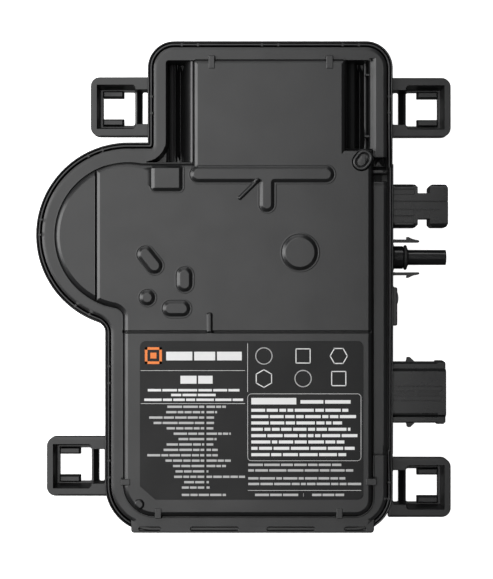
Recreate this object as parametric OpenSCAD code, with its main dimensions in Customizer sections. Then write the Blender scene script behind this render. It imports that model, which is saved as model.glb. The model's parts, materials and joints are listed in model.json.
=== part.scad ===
// Micro inverter: a flat moulded case that lies on its back, label face up (+Z),
// round transformer bulge on the left (-X), electrical ports on the right (+X),
// foot strip along the lower edge (-Y). Millimetres. The origin is under the
// middle of the case, in the plane of its back face.

/* [Case outline] */
// Top edge of the case above the centre
top_y = 106; // [104:0.5:108]
// Foot strip's edge below the centre
bottom_y = 106; // [106:0.5:108]
// Right-hand wall, right of the centre
right_x = 64.0; // [63.8:0.1:64.2]
// Upper left wall, left of the centre
shoulder_x = 41.8; // [41.4:0.1:42.2]
// Lower left wall, left of the centre
left_x = 60.2; // [59.8:0.1:60.6]
// Radius of the round bulge
bulge_r = 39.9; // [39.4:0.1:40.1]
// Corner radius at the top
top_r = 11.6; // [8:0.2:13]
// Corner radius at the bottom left
bl_r = 20.5; // [16:0.5:22]
// Corner radius at the bottom right
br_r = 16.8; // [14:0.2:18]

/* [Case shell] */
// Thickness of the rear housing's floor
floor_t = 2.0; // [1.6:0.1:2.2]
// Thickness of the rear housing's side wall
wall_t = 3.4; // [3.2:0.1:3.8]
// Thickness of the lip that stands round the cover
lip_t = 1.1; // [0.9:0.1:1.2]
// Thickness of the front cover
cover_t = 2.0; // [1.6:0.1:2.2]
// Width of the gap between the lip and the cover
rim_gap = 1.2; // [1.0:0.1:1.4]

/* [Relief levels] */
// Height of the cover's outer flange above the back face
z_flange = 24.6; // [24.2:0.1:25]
// Height of the flange in front of the ports
z_low = 20.8; // [20.4:0.1:21.2]
// Height of the crescent step on the bulge
z_cres = 26.6; // [26:0.1:27]
// Height of the main raised panel
z_plat = 28.6; // [28.2:0.1:29]
// Height of the raised ribs and pads: the full depth of the case
z_boss = 30.2; // [29.8:0.1:30.6]
// Height of the floor of the two deep troughs
z_trough = 12.4; // [12:0.2:16]

/* [Mounting ears] */
// Outside size of each square ear
ear_s = 25.9; // [25.5:0.1:26.3]
// Front face of the ears above the back face
ear_z1 = 14.0; // [13:0.5:15]
// Rear face of the ears
ear_z0 = 3.0; // [2:0.5:4]
// Thickness of the ledge at the back of each window
ledge_t = 2.2; // [1.6:0.2:3]

/* [Ports] */
// Height of the axis of the two DC connectors
dc_z = 10.5; // [10.3:0.1:10.7]
// Radius of the plug-in barrel of the DC probe
probe_r = 3.35; // [3.2:0.05:3.4]
// Radius of the bore in the DC socket
socket_r = 3.6; // [3.5:0.05:3.7]
// Radius of the round mouth of the AC port
ac_bore_r = 8.3; // [8.1:0.1:8.4]
// Height of the axis of the AC port
ac_z = 10.0; // [9.9:0.1:10.1]

/* [Hidden] */
$fn = 64;
bulge = [-50.15, 22.35];
z_shelf = 17.0;          // top of the thick part of the housing wall
seal_t = 1.2;            // the gasket under the cover's skirt
z_skirt = z_shelf + seal_t;
cov = lip_t + rim_gap;   // inset of the cover's edge from the case outline
low_y0 = -72.7;          // the stretch of rim that is stepped down
low_y1 = 53.0;
dcp_y = 35.25;           // axes of the ports
dcn_y = 12.87;
led_y = -5.0;
ac_y = -46.2;
px = right_x + 0.4;      // face of the port side
board_z = 6.0;
board_t = 1.6;
top = board_z + board_t;
ears = [[-66.95, 78.4, 0], [90.05, 78.45, 180], [-86.4, -78.55, 0], [90.05, -87.8, 180]];
stand = [[-31.5, 92], [44, 92], [-48, -78], [44, -92]];

case_grey = [0.27, 0.27, 0.28];
dark_grey = [0.17, 0.17, 0.18];

// ---- plane shapes ----
// rectangle by two corners, with its own radius at each: [bl, br, tr, tl]
module crect(x0, y0, x1, y1, r = [0, 0, 0, 0]) difference() {
  translate([x0, y0]) square([x1 - x0, y1 - y0]);
  for (k = [0:3]) if (r[k] > 0)
    translate([[x0, y0], [x1, y0], [x1, y1], [x0, y1]][k]) rotate(90 * k) difference() {
      translate([-1, -1]) square(r[k] + 1);
      translate([r[k], r[k]]) circle(r[k]);
    }
}
// obround between two centres
module obround(p, q, r) {
  e = r - 0.02;
  translate(p) rotate(atan2(q.y - p.y, q.x - p.x)) crect(-r, -r, norm(q - p) + r, r, [e, e, e, e]);
}
// the case outline, moved inwards by d
module outline(d = 0) {
  crect(-shoulder_x + d, -20, right_x - d, top_y - d, [0, 0, top_r - d, top_r - d]);
  crect(-left_x + d, -bottom_y + d, right_x - d, 0, [bl_r - d, br_r - d, 0, 0]);
  translate(bulge) circle(bulge_r - d, $fn = 128);
  translate([bulge.x, 0]) square([20, bulge.y + bulge_r - d]);
}
// the raised panel, moved inwards by i
module panel(i = 0) {
  crect(-50.5 + i, -96.8 + i, 54.1 - i, 52.5 - i, [12 - i, 6 - i, 0, 0]);
  crect(-21.3 + i, 30, 42.8 - i, 96.4 - i, [0, 0, 1, 1]);
  crect(30, 30, 54.1 - i, 58.0 - i);
  intersection() {
    translate(bulge) circle(31.2 - i, $fn = 128);
    translate([-63 + i, -20]) square([40, 80]);
  }
}
module crescent(i = 0) intersection() {
  translate(bulge) circle(31.6 - i, $fn = 128);
  translate([-100, -20]) square([39, 90]);
}
module trough_l(g = 0) crect(-33.7 - g, 53.2 - g, -21.6 + g, 97.5 + g, [1, 1, 1, 1]);
module trough_r(g = 0) crect(43.2 - g, 58.2 - g, 54.6 + g, 97.7 + g, [1, 1, 1, 1]);
module ports_zone(x0) crect(x0, low_y0, 80, low_y1);

// ---- solid helpers ----
module up(z, h) translate([0, 0, z]) linear_extrude(h) children();
module along_x(x, y, z) translate([x, y, z]) rotate([0, 90, 0]) children();
// rounded block along +X: y and z are half sizes
module bar_x(x0, x1, yc, zc, hy, hz, r) translate([x0, yc, zc]) rotate([90, 0, 90])
  linear_extrude(x1 - x0) crect(-hy, -hz, hy, hz, [r, r, r, r]);

// ---- rear housing ----
module ear() {
  // the outer end is at x = 0 and the rails run on into the case wall
  o = ear_s / 2;
  difference() {
    up(ear_z0, ear_z1 - ear_z0) crect(0, -o, 27.2, o, [4, 0, 0, 4]);
    // front recess down to the ledge
    up(ear_z0 + ledge_t, 30) crect(2.7, -9.5, 19.7, 9.5, [1.5, 1.5, 1.5, 1.5]);
    // window through the ledge
    up(-1, 30) crect(4.8, -7.45, 18.7, 7.45, [0.6, 0.6, 0.6, 0.6]);
    // recess over the crossbar
    up(ear_z0 + ledge_t + 2.2, 30) crect(18.8, -9.5, 22.4, 9.5, [0.5, 0.5, 0.5, 0.5]);
    // slot beside the case wall
    up(-1, 30) crect(21.6, -7.5, 24.2, 7.5);
    up(ear_z0 + ledge_t + 2.2, 30) crect(21.6, -9.5, 24.6, 9.5);
  }
  // two stop tabs at the outer end of the window
  for (s = [-1, 1]) up(ear_z0 + 0.4, 5.2) translate([5.0, s > 0 ? 4.65 : -9.6]) square([8.6, 4.95]);
}
module rear_housing() color(case_grey) {
  difference() {
    union() {
      up(0, z_shelf) outline(0);
      up(z_shelf - 1, z_flange + 0.4 - z_shelf + 1) difference() { outline(0); outline(lip_t); }
      // port side stands a little proud
      up(0, z_low + 0.3) crect(right_x - 1, low_y0, px, low_y1, [0, 0.3, 0.3, 0]);
      // foot strip
      up(12, z_flange - 12) difference() {
        crect(-49, -bottom_y, 56, -99.5, [1.5, 1.5, 0, 0]);
        outline(lip_t);
      }
      for (e = ears) translate([e[0], e[1], 0]) rotate(e[2]) ear();
      // hood over the status lens
      translate([right_x, -16.9, 13.2]) cube([2.45, 16.7, 5.6]);
    }
    // pocket
    up(floor_t, 40) outline(wall_t);
    up(z_shelf, 40) outline(lip_t);
    // the rim in front of the ports is stepped down
    up(z_low + 0.3, 20) ports_zone(55);
    // obround recesses in the foot strip
    for (s = [[-44.6, -37.2], [-22.2, -3.8], [10.8, 29.3], [44.3, 51.4]])
      up(z_flange - 5, 10) obround([s[0], -104.3], [s[1], -104.3], 0.8);
    // port holes
    along_x(right_x - 8, dcp_y, dc_z) cylinder(r = 5.3, h = 12);
    along_x(right_x - 8, dcn_y, dc_z) cylinder(r = 5.1, h = 12);
    along_x(right_x - 8, ac_y, ac_z) cylinder(r = 6.5, h = 12);
    bar_x(right_x - 8, right_x + 6, led_y, 8.6, 4.6, 3.0, 1);
  }
  // board standoffs
  for (p = stand) translate([p[0], p[1], 1]) difference() {
    cylinder(r = 3.2, h = board_z - 1);
    translate([0, 0, 1.2]) cylinder(r = 1.45, h = 10);
  }
}

// ---- front cover ----
module ribs() {
  crect(-39.9, 40.9, -26.1, 52.5, [1.7, 1.7, 0, 0]);
  obround([-20.5, 48.4], [35.8, 48.4], 3.25);
  obround([9.6, 46], [9.6, 35.1], 3.45);
  obround([6.4, 46.2], [-1.9, 38.2], 0.85);
  translate([23.8, 14.7]) circle(7.95);
  obround([-42.5, 13.9], [-38.6, 9.0], 4.15);
  obround([-25.7, 5.0], [-25.7, 1.2], 4.15);
  translate([-41.6, -4.7]) circle(4.1);
  obround([-31.7, -9.4], [-26.6, -9.4], 4.1);
  crect(-16.0, -20.4, -13.8, -11.2, [0, 0, 1.05, 1.05]);
  difference() {
    obround([50.2, 53.7], [51.3, 55.1], 3.7);
    obround([50.2, 53.7], [51.3, 55.1], 2.2);
  }
  difference() { translate([-45.3, -93.3]) circle(3.4); translate([-45.3, -93.3]) circle(2.4); }
  translate([-45.3, -93.3]) circle(1.9);
}
module front_cover() color(case_grey) difference() {
  union() {
    difference() {
      union() {
        difference() {
          up(z_skirt, z_flange - z_skirt) outline(cov);
          up(z_low, 20) ports_zone(55.4);
        }
        up(z_skirt, z_cres - z_skirt) crescent();
        up(z_skirt, z_plat - z_skirt) panel();
        up(z_plat - 1, z_boss - z_plat + 1) ribs();
        up(z_skirt, z_plat - z_skirt) obround([50.2, 53.7], [51.3, 55.1], 3.7);
        // small bridges across the step
        for (b = [[-15.4, 93.6, 2.8, 5.6], [35.0, 93.6, 3.1, 5.6], [-53.2, -85.3, 4, 2.8],
                  [52, -85.3, 4.8, 2.8], [-38.6, -99.6, 3, 4], [39.4, -99.6, 2.9, 4]])
          up(z_flange - 1, z_plat - z_flange + 0.4) translate([b[0], b[1]]) square([b[2], b[3]]);
      }
      // hollow under the flange, the crescent and the panel
      difference() {
        up(z_skirt - 3, z_flange - cover_t - z_skirt + 3) outline(cov + cover_t);
        up(z_low - cover_t, 20) ports_zone(55.4 - cover_t);
      }
      up(z_skirt - 3, z_cres - cover_t - z_skirt + 3) crescent(cover_t);
      up(z_skirt - 3, z_plat - cover_t - z_skirt + 3) panel(cover_t);
    }
    // the two troughs
    up(z_trough - 1.6, z_flange - z_trough + 1) trough_l(1.6);
    up(z_trough - 1.6, z_flange - z_trough + 1) trough_r(1.6);
  }
  up(z_trough, 40) trough_l();
  up(z_trough, 40) trough_r();
  // groove above the label panel
  for (g = [[-50.4, -16.0], [-13.8, 54.1]])
    up(z_plat - 1.2, 10) translate([g[0], -19.9]) square([g[1] - g[0], 0.9]);
  // label recess
  up(z_plat - 0.1, 10) label_shape(0.1);
}
module label_shape(g = 0) difference() {
  crect(-44.9 - g, -91.4 - g, 51.0 + g, -23.3 + g, [0, 2.6, 2.6, 2.6]);
  translate([-45.1 - g, -91.5 - g]) rotate(-41) translate([-12, -10]) square([18, 10 + 4.6]);
}
module rating_label() color([0.13, 0.13, 0.14]) up(z_plat - 0.1, 0.3) label_shape();
module cover_seal() color([0.05, 0.05, 0.05]) up(z_shelf, seal_t) difference() {
  outline(lip_t + 0.1);
  outline(cov + cover_t - 0.1);
}

// ---- DC socket: an outer shell with latch windows round an inner bore ----
module dc_socket_shell() color(dark_grey) difference() {
  union() {
    bar_x(px, px + 24.2, dcp_y, dc_z, 9.4, 7.4, 2.2);
    along_x(right_x - 7.4, dcp_y, dc_z) cylinder(r = 5.2, h = 9);
    bar_x(px + 1, px + 9, dcp_y, dc_z, 9.4, 8.0, 1.0);
  }
  // channels for the mating latch arms, each side of the inner tube
  for (s = [-1, 1]) bar_x(px + 7.5, px + 30, dcp_y + s * 7.1, dc_z, 1.5, 3.2, 0.4);
  difference() {
    along_x(px + 9.5, dcp_y, dc_z) cylinder(r = 6.2, h = 30);
    along_x(px + 8, dcp_y, dc_z) cylinder(r = 5.1, h = 30);
  }
  // latch windows
  for (s = [-1, 1]) translate([px + 11.4, dcp_y + s * 9.4 - 3.9, dc_z - 4]) cube([5.3, 7.8, 8]);
  // bore for the mating probe, with a wider mouth past the pin's tip
  along_x(px + 4, dcp_y, dc_z) cylinder(r = socket_r, h = 30);
  along_x(px + 17, dcp_y, dc_z) cylinder(r = socket_r + 0.2, h = 20);
  along_x(right_x - 9, dcp_y, dc_z) cylinder(r = 1.55, h = 30);
  // shallow fields on the top of the block
  translate([px + 2.4, dcp_y - 6.8, dc_z + 7.6]) cube([5.4, 5.6, 2]);
  translate([px + 2.4, dcp_y + 1.2, dc_z + 7.6]) cube([5.4, 5.6, 2]);
}
module dc_pin_contact() color([0.85, 0.83, 0.78]) {
  along_x(right_x - 10, dcp_y, dc_z) cylinder(r = 1.5, h = 26);
  along_x(right_x + 16, dcp_y, dc_z) cylinder(r1 = 1.5, r2 = 0.6, h = 1);
}

// ---- DC probe: a barrel with two sprung latch arms ----
module dc_probe_body() color(dark_grey) difference() {
  union() {
    along_x(right_x - 7.4, dcn_y, dc_z) cylinder(r = 5.0, h = 12.9);
    along_x(px, dcn_y, dc_z) cylinder(r = 6.0, h = 1.0);
    along_x(px, dcn_y, dc_z) cylinder(r = probe_r, h = 24.0);
    along_x(px, dcn_y, dc_z) cylinder(r = 4.1, h = 7.2);
  }
  along_x(right_x - 9, dcn_y, dc_z) cylinder(r = 2.15, h = 40);
}
module dc_probe_oring() color([0.04, 0.04, 0.04]) along_x(px + 6.1, dcn_y, dc_z)
  rotate_extrude() translate([4.8, 0]) circle(0.68);
module dc_socket_contact() color([0.85, 0.83, 0.78]) difference() {
  along_x(right_x - 10, dcn_y, dc_z) cylinder(r = 2.1, h = 33.4);
  along_x(right_x + 12, dcn_y, dc_z) cylinder(r = 1.55, h = 30);
}
// arm on the +Y side; its root turns about a line parallel to Z
module latch_arm() translate([0, 0, -2.6]) {
  translate([1.2, 7.2, 0]) cylinder(r = 0.75, h = 5.2);
  linear_extrude(5.2) polygon([[1.2, 6.55], [11.8, 6.5], [12.3, 6.9],
    [11.9, 7.5], [9.3, 8.05], [7.3, 9.0], [6.7, 8.9], [6.9, 7.85], [1.2, 7.85]]);
}
module dc_latch_upper() color(dark_grey) translate([px, dcn_y, dc_z]) latch_arm();
module dc_latch_lower() color(dark_grey) translate([px, dcn_y, dc_z]) mirror([0, 1, 0]) latch_arm();

// ---- AC port ----
module ac_port_shroud() color(dark_grey) difference() {
  union() {
    bar_x(px, px + 23.2, ac_y, ac_z, 13.3, 9.6, 5.5);
    bar_x(px + 19.6, px + 22.6, ac_y, ac_z, 13.8, 9.8, 5.5);
    along_x(right_x - 7.4, ac_y, ac_z) cylinder(r = 6.4, h = 9);
    // rigid detent wedges
    for (s = [-1, 1]) translate([px, ac_y, ac_z - 3]) mirror([0, s < 0 ? 1 : 0, 0])
      linear_extrude(6) polygon([[6.4, 12], [7.1, 15.3], [8.2, 15.3], [10.4, 13.2], [10.4, 12]]);
  }
  along_x(px + 3, ac_y, ac_z) cylinder(r = ac_bore_r - 0.2, h = 40);
  along_x(px + 17, ac_y, ac_z) cylinder(r = ac_bore_r, h = 40);
  along_x(right_x - 9, ac_y, ac_z) cylinder(r = 4.6, h = 40);
  // fields along the flat face
  for (y = [ac_y - 0.55, ac_y + 0.55]) for (f = [[1.6, 7.6], [10.9, 9.4]])
    translate([px + f[0], y - 0.35, ac_z + 9.1]) cube([f[1], 0.7, 2]);
}
module ac_contact_insert() color([0.24, 0.24, 0.25]) difference() {
  union() {
    along_x(px + 3, ac_y, ac_z) cylinder(r = 6.2, h = 11.5);
    along_x(px - 6, ac_y, ac_z) cylinder(r = 4.5, h = 10);
  }
  for (a = [90, 210, 330]) along_x(px - 8, ac_y + 2.7 * cos(a), ac_z + 2.7 * sin(a)) cylinder(r = 1.05, h = 40);
}
module ac_pins() color([0.85, 0.83, 0.78]) for (a = [90, 210, 330])
  along_x(px - 9, ac_y + 2.7 * cos(a), ac_z + 2.7 * sin(a)) cylinder(r = 1.0, h = 25.5);
// hexagonal nuts that hold the ports from inside the case
module port_locknuts() color([0.30, 0.30, 0.31]) for (n = [[dcp_y, dc_z, 5.25, 7.2], [dcn_y, dc_z, 5.05, 7.0], [ac_y, ac_z, 6.45, 7.6]])
  difference() {
    along_x(right_x - 6.4, n[0], n[1]) rotate(30) cylinder(r = n[3], h = 2.9, $fn = 6);
    along_x(right_x - 7, n[0], n[1]) cylinder(r = n[2], h = 5);
  }

// ---- status light ----
module status_lens() color([0.75, 0.76, 0.78], 0.6) intersection() {
  union() {
    translate([60.6, led_y, 8.6]) sphere(r = 7.2, $fn = 64);
    bar_x(right_x - 3, right_x + 0.2, led_y, 8.6, 4.4, 2.8, 0.8);
  }
  union() {
    bar_x(px + 0.1, px + 6, led_y, 8.6, 6.1, 4.2, 1.5);
    bar_x(right_x - 3, px + 0.2, led_y, 8.6, 4.4, 2.8, 0.8);
  }
}
module status_led() color([0.9, 0.9, 0.8]) translate([50.6, led_y - 1.5, top]) cube([3, 3, 1.4]);

// ---- electronics ----
module circuit_board() color([0.05, 0.32, 0.16]) up(board_z, board_t) difference() {
  outline(6.2);
  crect(54.2, -68, 70, 50);
  for (p = stand) translate(p) circle(1.6);
}
module board_screws() color([0.75, 0.75, 0.76]) for (p = stand) translate([p[0], p[1], 0]) {
  difference() {
    translate([0, 0, top]) cylinder(r = 2.7, h = 1.8);
    translate([0, 0, top + 0.8]) cylinder(r = 1.3, h = 3, $fn = 6);
  }
  translate([0, 0, 3]) cylinder(r = 1.4, h = top - 3 + 0.1);
}
module heat_spreader() color([0.8, 0.8, 0.82]) up(floor_t, 1.6) crect(-26, -70, 34, 70, [2, 2, 2, 2]);
module thermal_pad() color([0.55, 0.62, 0.70]) up(floor_t + 1.6, board_z - floor_t - 1.6)
  crect(-22, -66, 30, 66, [1, 1, 1, 1]);
// cured resin that fills the housing below the board
module potting_compound() color([0.23, 0.22, 0.20]) up(floor_t, board_z - floor_t) difference() {
  outline(wall_t + 0.05);
  crect(-26.05, -70.05, 34.05, 70.05);
  crect(54.2, -62, 70, 48);
  for (p = stand) translate(p) circle(3.25);
}
// ferrite half: a plate with a round centre leg and two side legs
module core_half() {
  translate([-24, -17, 0]) cube([48, 34, 3.4]);
  cylinder(r = 8.5, h = 7.0);
  for (s = [-1, 1]) translate([s > 0 ? 19.5 : -24, -17, 0]) cube([4.5, 34, 7.0]);
}
tx = [-50, 22];
module transformer_core_lower() color([0.20, 0.20, 0.21]) translate([tx.x, tx.y, top + 0.1]) core_half();
module transformer_core_upper() color([0.20, 0.20, 0.21]) translate([tx.x, tx.y, top + 14.1])
  mirror([0, 0, 1]) core_half();
module transformer_winding() color([0.72, 0.42, 0.18]) translate([tx.x, tx.y, top + 3.7]) difference() {
  cylinder(r = 18.8, h = 6.8);
  translate([0, 0, -1]) cylinder(r = 8.8, h = 10);
}
chk = [-26, -48];
module choke_core() color([0.22, 0.24, 0.23]) translate([chk.x, chk.y, top + 1.6]) difference() {
  cylinder(r = 13, h = 9);
  translate([0, 0, -1]) cylinder(r = 8, h = 12);
}
module choke_windings() color([0.72, 0.42, 0.18]) for (a = [25, 205]) translate([chk.x, chk.y, top + 1.6])
  rotate(a) rotate_extrude(angle = 130) difference() {
    translate([6.6, -1.5]) square([7.8, 12]);
    translate([7.95, -0.05]) square([5.1, 9.1]);
  }
module input_capacitors() color([0.12, 0.16, 0.30]) for (i = [0:3])
  along_x(-2, -84 + 17 * i + 0.5, top + 8.2) cylinder(r = 8, h = 26);
module film_capacitors() color([0.75, 0.62, 0.20]) for (i = [0:2])
  translate([31, -84 + 12 * i, top + 0.1]) cube([18, 9, 13]);
module inductor_core() color([0.21, 0.21, 0.22]) translate([22, 22, top + 0.1]) {
  cylinder(r = 12, h = 2.4);
  cylinder(r = 6, h = 14);
  translate([0, 0, 11.6]) cylinder(r = 12, h = 2.4);
}
module inductor_winding() color([0.72, 0.42, 0.18]) translate([22, 22, top + 2.7]) difference() {
  cylinder(r = 11, h = 8.6);
  translate([0, 0, -1]) cylinder(r = 6.2, h = 12);
}
module power_transistors() color([0.10, 0.10, 0.11]) for (i = [0:2]) for (j = [0:1])
  translate([-16 + 13 * j, 34 - 14 * i, top]) cube([10, 9.2, 4.4]);
module controller_chip() color([0.10, 0.10, 0.11]) translate([22, -14, top]) cube([14, 14, 1.2]);
module driver_chips() color([0.10, 0.10, 0.11]) for (i = [0:2]) translate([-14, -6 - 9 * i, top]) cube([7.5, 5, 1.8]);
module line_fuse() color([0.82, 0.80, 0.72]) along_x(2, 70, top + 3) cylinder(r = 2.9, h = 22);
module surge_varistors() color([0.15, 0.30, 0.60]) for (i = [0:1])
  translate([2 + 14 * i, 56, top + 6.4]) rotate([90, 0, 0]) cylinder(r = 6, h = 4);
module dc_leads() color([0.80, 0.45, 0.20]) for (y = [dcp_y, dcn_y]) {
  translate([50.4, y - 2.5, top]) cube([1.2, 5, dc_z - top + 1.2]);
  translate([50.4, y - 2.5, dc_z - 0.6]) cube([right_x - 10 - 50.4, 5, 1.2]);
}
module ac_leads() color([0.80, 0.45, 0.20]) for (a = [90, 210, 330]) {
  y = ac_y + 2.7 * cos(a);
  z = ac_z + 2.7 * sin(a);
  o = a == 90 ? 0 : (a == 210 ? 1 : 2);
  translate([51.2 - 1.6 * o, y - 0.5, z - 0.5]) cube([px - 9 - 51.2 + 1.6 * o, 1, 1]);
  translate([51.2 - 1.6 * o, y - 0.5, top]) cube([1, 1, z - top + 0.5]);
}

rear_housing();
front_cover();
cover_seal();
rating_label();
dc_socket_shell();
dc_pin_contact();
dc_probe_body();
dc_socket_contact();
dc_probe_oring();
dc_latch_upper();
dc_latch_lower();
ac_port_shroud();
ac_contact_insert();
ac_pins();
port_locknuts();
status_lens();
status_led();
circuit_board();
board_screws();
heat_spreader();
thermal_pad();
potting_compound();
transformer_core_lower();
transformer_core_upper();
transformer_winding();
choke_core();
choke_windings();
input_capacitors();
film_capacitors();
inductor_core();
inductor_winding();
power_transistors();
controller_chip();
driver_chips();
line_fuse();
surge_varistors();
dc_leads();
ac_leads();
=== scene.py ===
"""Looks for the micro inverter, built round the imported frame. Sizes in the lists are millimetres in the row frame."""
import json
import math
import random

import bmesh  # noqa: E402
import bpy  # noqa: E402
import numpy as np  # noqa: E402
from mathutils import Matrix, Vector  # noqa: E402
from mathutils.geometry import delaunay_2d_cdt  # noqa: E402


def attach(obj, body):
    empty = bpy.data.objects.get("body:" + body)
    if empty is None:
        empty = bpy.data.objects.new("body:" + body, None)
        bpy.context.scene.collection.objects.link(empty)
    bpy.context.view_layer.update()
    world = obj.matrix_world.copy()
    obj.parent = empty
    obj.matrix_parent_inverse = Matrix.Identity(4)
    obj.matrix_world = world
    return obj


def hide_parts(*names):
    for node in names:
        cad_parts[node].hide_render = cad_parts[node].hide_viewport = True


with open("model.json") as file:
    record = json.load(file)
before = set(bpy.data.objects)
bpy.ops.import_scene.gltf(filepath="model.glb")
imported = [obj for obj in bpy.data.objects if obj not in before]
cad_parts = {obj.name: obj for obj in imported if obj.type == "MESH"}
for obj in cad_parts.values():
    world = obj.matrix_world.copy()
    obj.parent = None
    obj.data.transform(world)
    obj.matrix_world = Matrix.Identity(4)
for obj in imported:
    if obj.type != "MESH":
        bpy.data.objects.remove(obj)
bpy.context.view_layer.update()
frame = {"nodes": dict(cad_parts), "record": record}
NODES = frame["nodes"]
MM = 0.001

# ------------------------------------------------------------------ plane fields (distance, negative inside)


def circ(x, y, cx, cy, r):
    return np.hypot(x - cx, y - cy) - r


def cap(x, y, ax, ay, bx, by, r):
    vx, vy = bx - ax, by - ay
    t = np.clip(((x - ax) * vx + (y - ay) * vy) / (vx * vx + vy * vy), 0, 1)
    return np.hypot(x - ax - t * vx, y - ay - t * vy) - r


def rbox(x, y, x0, y0, x1, y1, r=(0, 0, 0, 0)):
    """Rectangle with a radius at each corner: bottom left, bottom right, top right, top left."""
    px, py = x - (x0 + x1) / 2, y - (y0 + y1) / 2
    rr = np.where(px < 0, np.where(py < 0, r[0], r[3]), np.where(py < 0, r[1], r[2]))
    qx, qy = np.abs(px) - (x1 - x0) / 2 + rr, np.abs(py) - (y1 - y0) / 2 + rr
    return np.minimum(np.maximum(qx, qy), 0) + np.hypot(np.maximum(qx, 0), np.maximum(qy, 0)) - rr


def turned(x, y, cx, cy, a, hx, hy):
    c, s = math.cos(a), math.sin(a)
    u, v = (x - cx) * c + (y - cy) * s, -(x - cx) * s + (y - cy) * c
    return rbox(u, v, -hx, -hy, hx, hy)


def fillet(a, b, r):
    u, v = np.maximum(r - a, 0), np.maximum(r - b, 0)
    return np.maximum(r, np.minimum(a, b)) - np.hypot(u, v)


def least(*f):
    out = f[0]
    for g in f[1:]:
        out = np.minimum(out, g)
    return out


def profile(s, pts, w=0.3):
    """A polyline of height over distance, with its corners rounded over a width w."""
    xs, zs = np.array([p[0] for p in pts], float), np.array([p[1] for p in pts], float)
    xs = np.concatenate([[xs[0] - 50], xs, [xs[-1] + 50]])
    zs = np.concatenate([[zs[0]], zs, [zs[-1]]])
    area = np.concatenate([[0], np.cumsum((zs[1:] + zs[:-1]) / 2 * np.diff(xs))])
    slope = np.diff(zs) / np.diff(xs)

    def total(t):
        t = np.clip(t, xs[0], xs[-1])
        i = np.clip(np.searchsorted(xs, t, side="right") - 1, 0, len(xs) - 2)
        u = t - xs[i]
        return area[i] + zs[i] * u + slope[i] * u * u / 2

    s = np.clip(s, xs[0] + w, xs[-1] - w)
    return (total(s + w / 2) - total(s - w / 2)) / w


def levels(pts, w=0.3):
    out = set()
    for p in pts:
        for k in (-0.5, -0.17, 0.17, 0.5):
            out.add(round(p[0] + k * w, 3))
    return sorted(out)


# ------------------------------------------------------------------ contour lines and the relief builder


def chains(f, lvs, box, step=0.25):
    """Contour lines of the field f at each level, as simplified point lists."""
    x0, y0, x1, y1 = box
    xs, ys = np.arange(x0, x1 + step, step), np.arange(y0, y1 + step, step)
    gx, gy = np.meshgrid(xs, ys)
    val = f(gx, gy)
    ny, nx = val.shape
    size = nx * ny
    table = {1: [(3, 0)], 2: [(0, 1)], 3: [(3, 1)], 4: [(1, 2)], 5: [(3, 2), (0, 1)], 6: [(0, 2)], 7: [(3, 2)],
             8: [(2, 3)], 9: [(2, 0)], 10: [(1, 2), (3, 0)], 11: [(2, 1)], 12: [(1, 3)], 13: [(1, 0)], 14: [(0, 3)]}
    out = []
    for lv in lvs:
        v = val - lv
        v = np.where(np.abs(v) < 1e-7, 1e-7, v)
        neg = v < 0
        code = neg[:-1, :-1] * 1 + neg[:-1, 1:] * 2 + neg[1:, 1:] * 4 + neg[1:, :-1] * 8
        ii, jj = np.nonzero((code > 0) & (code < 15))
        link = {}
        for i, j in zip(ii.tolist(), jj.tolist()):
            e = (i * nx + j, size + i * nx + j + 1, (i + 1) * nx + j, size + i * nx + j)
            for a, b in table[int(code[i, j])]:
                link.setdefault(e[a], []).append(e[b])
                link.setdefault(e[b], []).append(e[a])
        if not link:
            continue
        ids = np.array(list(link))
        hor = ids < size
        base = np.where(hor, ids, ids - size)
        bi, bj = base // nx, base % nx
        ci, cj = np.where(hor, bi, bi + 1), np.where(hor, bj + 1, bj)
        va, vb = v[bi, bj], v[ci, cj]
        t = va / (va - vb)
        ax, ay, bx, by = xs[bj], ys[bi], xs[cj], ys[ci]
        lo, hi, flo = np.zeros_like(t), np.ones_like(t), va
        for _ in range(5):
            px, py = ax + (bx - ax) * t, ay + (by - ay) * t
            ft = f(px, py) - lv
            same = (ft < 0) == (flo < 0)
            lo, flo = np.where(same, t, lo), np.where(same, ft, flo)
            hi = np.where(same, hi, t)
            fhi = np.where(same, f(ax + (bx - ax) * hi, ay + (by - ay) * hi) - lv, ft)
            den = flo - fhi
            t = np.where(np.abs(den) > 1e-9, lo + (hi - lo) * flo / np.where(np.abs(den) > 1e-9, den, 1), (lo + hi) / 2)
            t = np.clip(t, lo, hi)
        px, py = ax + (bx - ax) * t, ay + (by - ay) * t
        pos = {k: (a, b) for k, a, b in zip(ids.tolist(), px.tolist(), py.tolist())}
        left = dict(link)
        while left:
            start = next((k for k in left if len(link[k]) == 1), next(iter(left)))
            line, prev, cur = [start], None, start
            left.pop(start)
            closed = False
            while True:
                nxt = [k for k in link[cur] if k != prev and k in left]
                if not nxt:
                    closed = len(line) > 2 and line[0] in link[cur] and len(link[start]) == 2
                    break
                prev, cur = cur, nxt[0]
                line.append(cur)
                left.pop(cur)
            pts = np.array([pos[k] for k in line])
            if closed:
                pts = np.vstack([pts, pts[:1]])
            if len(pts) > 2:
                out.append((simplify(pts), closed))
    return out


def simplify(p, tol=0.011):
    keep = np.zeros(len(p), bool)
    keep[0] = keep[-1] = True
    mid = int(np.argmax(np.hypot(*(p - p[0]).T)))
    keep[mid] = True
    stack = [(0, mid), (mid, len(p) - 1)]
    while stack:
        a, b = stack.pop()
        if b - a < 2:
            continue
        d = p[b] - p[a]
        n = math.hypot(*d)
        q = p[a + 1:b] - p[a]
        dist = np.abs(q[:, 0] * d[1] - q[:, 1] * d[0]) / n if n > 1e-9 else np.hypot(q[:, 0], q[:, 1])
        k = int(np.argmax(dist))
        if dist[k] > tol:
            k += a + 1
            keep[k] = True
            stack += [(a, k), (k, b)]
    return p[keep]


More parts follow.
